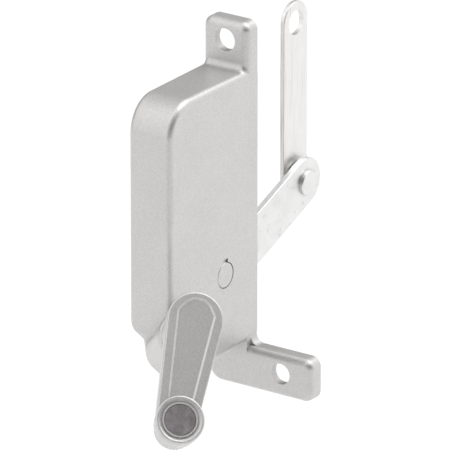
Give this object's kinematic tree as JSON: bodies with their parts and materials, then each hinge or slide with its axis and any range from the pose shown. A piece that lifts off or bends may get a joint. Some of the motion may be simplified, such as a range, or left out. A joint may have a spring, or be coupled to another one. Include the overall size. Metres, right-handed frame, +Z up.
{
  "type": "window crank operator",
  "caption": "Cast crank operator for a window: a slanted hand crank turns a worm inside the housing and swings a flat arm with a link.",
  "frame": {"origin": "on the mounting face, in the middle of the housing's width, level with the housing's underside", "axes": "+Y out of the mounting face into the frame it is screwed to, +Z up along the housing, +X towards the lower screw tab's long end"},
  "size_m": [0.0546, 0.1317, 0.1187],
  "materials": {
    "painted_casting": "satin",
    "plated_steel": "satin",
    "gear_steel": "satin",
    "bearing_bronze": "satin",
    "rivet_steel": "satin"
  },
  "bodies": {
    "base": {"housing": "painted_casting", "pivot_pin": "painted_casting", "pivot_spacer": "plated_steel", "spindle_bush": "bearing_bronze"},
    "arm": {"drive_arm": "plated_steel", "sector_gear": "gear_steel", "gear_rivets": "plated_steel", "link_rivet": "plated_steel"},
    "crank": {"worm_shaft": "gear_steel", "thrust_washer": "bearing_bronze", "retaining_ring": "gear_steel", "crank_arm": "painted_casting", "crank_set_screw": "gear_steel", "knob_washer": "plated_steel", "knob_rivet": "rivet_steel"},
    "knob_body": {"knob": "painted_casting"},
    "link_body": {"link": "plated_steel", "link_washer": "plated_steel"}
  },
  "joints": [
    {"name": "arm_swing", "type": "hinge", "parent": "base", "child": "arm", "pos_m": [0, -0.0169, 0.0259], "axis": [1, 0, 0], "range_deg": [-50, 15]},
    {"name": "crank_turn", "type": "hinge", "parent": "base", "child": "crank", "pos_m": [0.0018, -0.0336, 0.0056], "axis": [0.572, -0.6134, 0.5446], "range_deg": [-450, 1500]},
    {"name": "knob_spin", "type": "hinge", "parent": "crank", "child": "knob_body", "pos_m": [0.0373, -0.08418, 0.00684], "axis": [0.572, -0.6134, 0.5446], "continuous": true},
    {"name": "link_swing", "type": "hinge", "parent": "arm", "child": "link_body", "pos_m": [0.0007, 0.03079, 0.04094], "axis": [1, 0, 0], "range_deg": [-140, 5]}
  ],
  "couplings": [
    {"joint": "crank_turn", "follows": "arm_swing", "ratio": -30}
  ]
}
